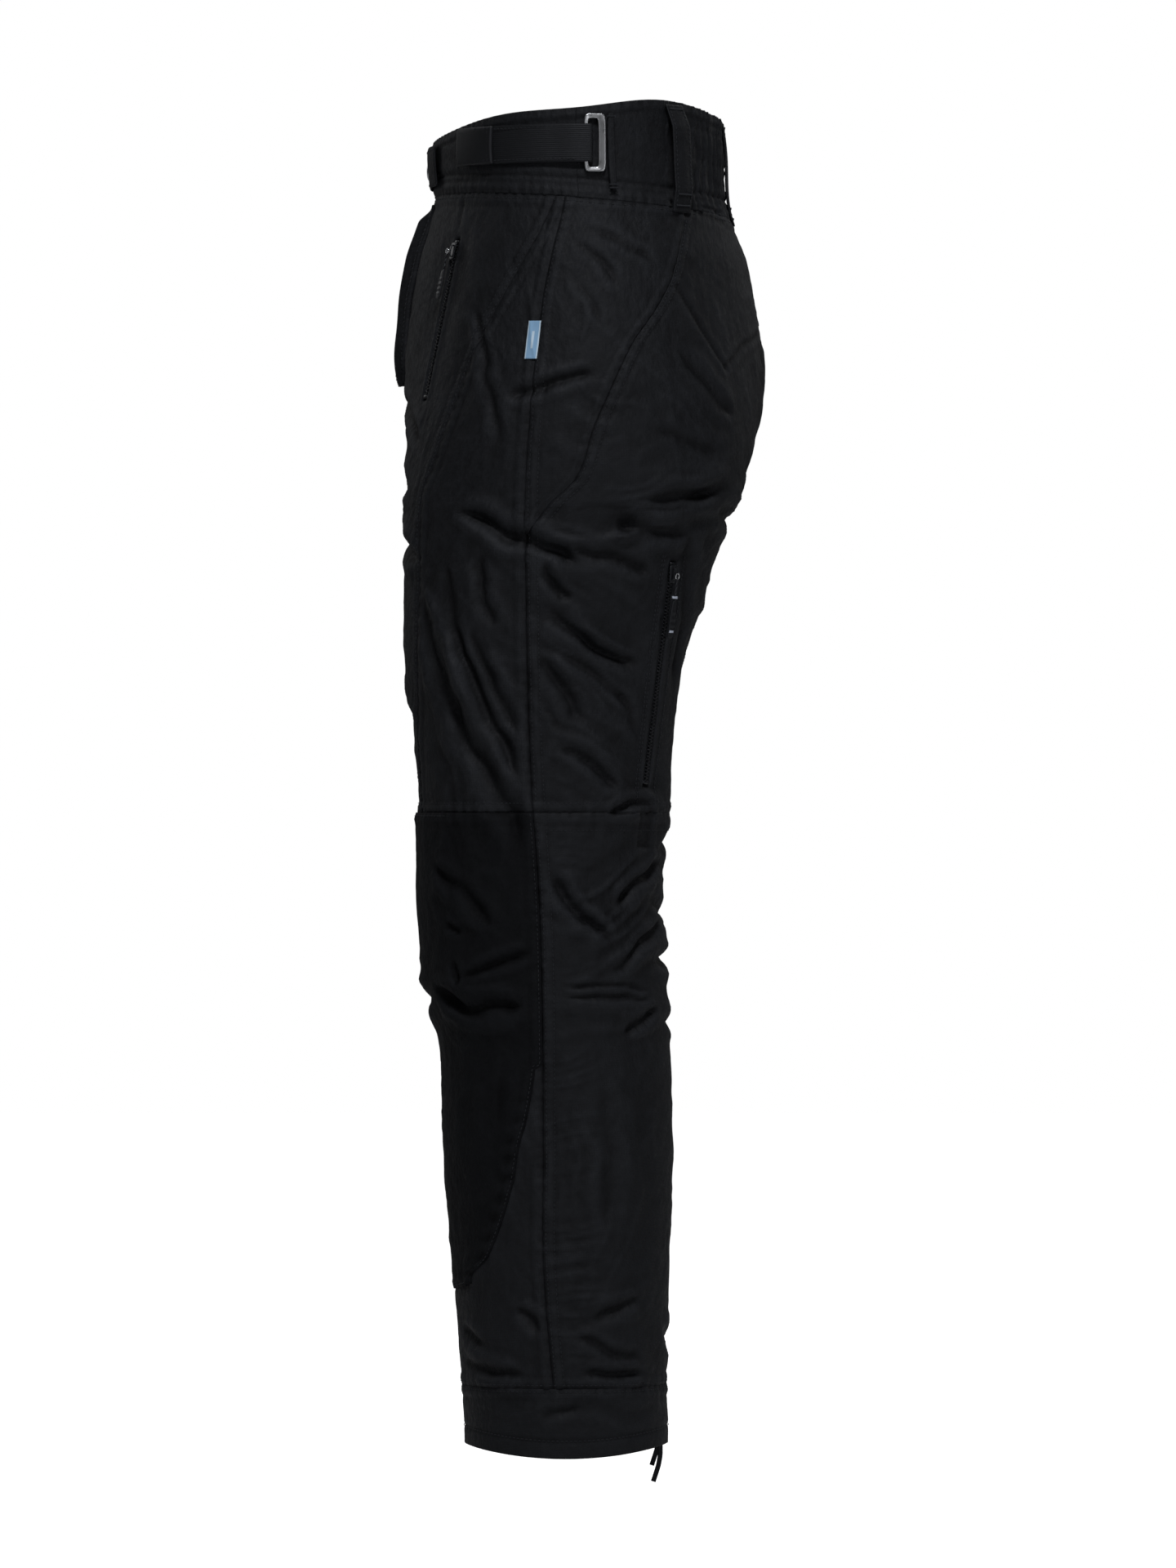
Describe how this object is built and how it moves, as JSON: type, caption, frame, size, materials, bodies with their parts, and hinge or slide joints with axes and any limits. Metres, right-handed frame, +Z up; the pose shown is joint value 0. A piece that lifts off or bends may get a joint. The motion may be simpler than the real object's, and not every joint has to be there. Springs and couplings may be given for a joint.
{
  "type": "ski pants",
  "caption": "Insulated ski pants with side waist adjusters, hand pockets, thigh vents, bending knee panels and hems with inner gaiters.",
  "frame": {"origin": "centre of the waist opening at the height of the waist seam", "axes": "+Z up along the legs, front towards -Y, the wearer's left towards +X"},
  "size_m": [0.4048, 0.2949, 1.0835],
  "materials": {
    "shell_cloth": "matt plain weave",
    "knee_cloth": "matt reinforced weave",
    "hook_pile": "soft pile",
    "trim_cloth": "twill",
    "webbing": "ribbed webbing",
    "tab_film": "satin moulded",
    "ring_metal": "brushed",
    "zip_coil": "satin",
    "zip_metal": "satin black",
    "pull_cord": "satin",
    "label": "woven",
    "gaiter_cloth": "matt taffeta"
  },
  "bodies": {
    "hips": {"waistband_back": "shell_cloth", "belt_loop_back": "trim_cloth", "snap_socket": "ring_metal", "fly_placket": "shell_cloth", "fly_zip": "zip_coil", "side_label": "label", "waistband_front_left": "shell_cloth", "belt_loop_left": "trim_cloth", "loop_field_left": "hook_pile", "ring_anchor_left": "shell_cloth", "hip_front_left": "shell_cloth", "hip_side_left": "shell_cloth", "seat_left": "shell_cloth", "hand_zip_left": "zip_coil", "thigh_front_left": "shell_cloth", "thigh_back_left": "shell_cloth", "vent_zip_left": "zip_coil", "knee_patch_left": "knee_cloth", "knee_back_left": "shell_cloth", "waistband_front_right": "shell_cloth", "belt_loop_right": "trim_cloth", "loop_field_right": "hook_pile", "ring_anchor_right": "shell_cloth", "hip_front_right": "shell_cloth", "hip_side_right": "shell_cloth", "seat_right": "shell_cloth", "hand_zip_right": "zip_coil", "thigh_front_right": "shell_cloth", "thigh_back_right": "shell_cloth", "vent_zip_right": "zip_coil", "knee_patch_right": "knee_cloth", "knee_back_right": "shell_cloth"},
    "waist_tab": {"waist_tab": "shell_cloth", "snap_cap": "ring_metal"},
    "fly_slider": {"fly_slider": "zip_metal"},
    "fly_pull": {"fly_pull": "pull_cord"},
    "shin_left": {"shin_panel_left": "knee_cloth", "calf_panel_left": "shell_cloth", "hem_band_left": "shell_cloth", "snow_gaiter_left": "gaiter_cloth", "gaiter_tape_left": "webbing"},
    "adjuster_ring_left": {"adjuster_ring_left": "ring_metal"},
    "adjuster_strap_left": {"adjuster_strap_left": "webbing", "adjuster_tab_left": "tab_film"},
    "hand_slider_left": {"hand_slider_left": "zip_metal"},
    "hand_pull_left": {"hand_pull_left": "pull_cord"},
    "vent_slider_left": {"vent_slider_left": "zip_metal"},
    "vent_pull_left": {"vent_pull_left": "pull_cord"},
    "shin_right": {"shin_panel_right": "knee_cloth", "calf_panel_right": "shell_cloth", "hem_band_right": "shell_cloth", "snow_gaiter_right": "gaiter_cloth", "gaiter_tape_right": "webbing"},
    "adjuster_ring_right": {"adjuster_ring_right": "ring_metal"},
    "adjuster_strap_right": {"adjuster_strap_right": "webbing", "adjuster_tab_right": "tab_film"},
    "hand_slider_right": {"hand_slider_right": "zip_metal"},
    "hand_pull_right": {"hand_pull_right": "pull_cord"},
    "vent_slider_right": {"vent_slider_right": "zip_metal"},
    "vent_pull_right": {"vent_pull_right": "pull_cord"}
  },
  "joints": [
    {"name": "waist_tab_peel", "type": "hinge", "parent": "hips", "child": "waist_tab", "pos_m": [0.04901, -0.1124, 0.023], "axis": [0, 0, 1], "range_deg": [0, 90]},
    {"name": "fly_slider_slide", "type": "slide", "parent": "hips", "child": "fly_slider", "axis": [0, -0.107, -0.9943], "range_m": [0, 0.0936]},
    {"name": "fly_pull_swing", "type": "hinge", "parent": "fly_slider", "child": "fly_pull", "pos_m": [0, -0.12737, -0.03216], "axis": [-1, 0, 0], "range_deg": [0, 4]},
    {"name": "knee_left", "type": "hinge", "parent": "hips", "child": "shin_left", "pos_m": [0.093, -0.028, -0.595], "axis": [1, 0, 0], "range_deg": [0, 80], "deforming": ["knee_patch_left", "knee_back_left"]},
    {"name": "adjuster_ring_swing_left", "type": "hinge", "parent": "hips", "child": "adjuster_ring_left", "pos_m": [0.15587, 0.02118, 0.03417], "axis": [-0.057, -0.008, 0.9983], "range_deg": [0, 20]},
    {"name": "adjuster_strap_peel_left", "type": "hinge", "parent": "adjuster_ring_left", "child": "adjuster_strap_left", "pos_m": [0.16072, 0.00862, 0.034], "axis": [-0.057, -0.008, 0.9983], "range_deg": [0, 75]},
    {"name": "hand_slider_slide_left", "type": "slide", "parent": "hips", "child": "hand_slider_left", "axis": [0.0859, -0.1951, -0.977], "range_m": [0, 0.1099]},
    {"name": "hand_pull_swing_left", "type": "hinge", "parent": "hand_slider_left", "child": "hand_pull_left", "pos_m": [0.11147, -0.10393, -0.04722], "axis": [-0.8936, -0.4488, 0.011], "range_deg": [0, 150]},
    {"name": "vent_slider_slide_left", "type": "slide", "parent": "hips", "child": "vent_slider_left", "axis": [-0.095, -0.121, -0.9881], "range_m": [0, 0.158]},
    {"name": "vent_pull_swing_left", "type": "hinge", "parent": "vent_slider_left", "child": "vent_pull_left", "pos_m": [0.16246, 0.07723, -0.30502], "axis": [0.7359, -0.6769, 0.012], "range_deg": [0, 150]},
    {"name": "knee_right", "type": "hinge", "parent": "hips", "child": "shin_right", "pos_m": [-0.093, -0.028, -0.595], "axis": [1, 0, 0], "range_deg": [0, 80], "deforming": ["knee_patch_right", "knee_back_right"]},
    {"name": "adjuster_ring_swing_right", "type": "hinge", "parent": "hips", "child": "adjuster_ring_right", "pos_m": [-0.15587, 0.02118, 0.03417], "axis": [-0.057, 0.008, -0.9983], "range_deg": [0, 20]},
    {"name": "adjuster_strap_peel_right", "type": "hinge", "parent": "adjuster_ring_right", "child": "adjuster_strap_right", "pos_m": [-0.16072, 0.00862, 0.034], "axis": [-0.057, 0.008, -0.9983], "range_deg": [0, 75]},
    {"name": "hand_slider_slide_right", "type": "slide", "parent": "hips", "child": "hand_slider_right", "axis": [-0.0859, -0.1951, -0.977], "range_m": [0, 0.1099]},
    {"name": "hand_pull_swing_right", "type": "hinge", "parent": "hand_slider_right", "child": "hand_pull_right", "pos_m": [-0.11147, -0.10393, -0.04722], "axis": [-0.8936, 0.4488, -0.011], "range_deg": [0, 150]},
    {"name": "vent_slider_slide_right", "type": "slide", "parent": "hips", "child": "vent_slider_right", "axis": [0.095, -0.121, -0.9881], "range_m": [0, 0.158]},
    {"name": "vent_pull_swing_right", "type": "hinge", "parent": "vent_slider_right", "child": "vent_pull_right", "pos_m": [-0.16246, 0.07723, -0.30502], "axis": [0.7359, 0.6769, -0.012], "range_deg": [0, 150]}
  ]
}
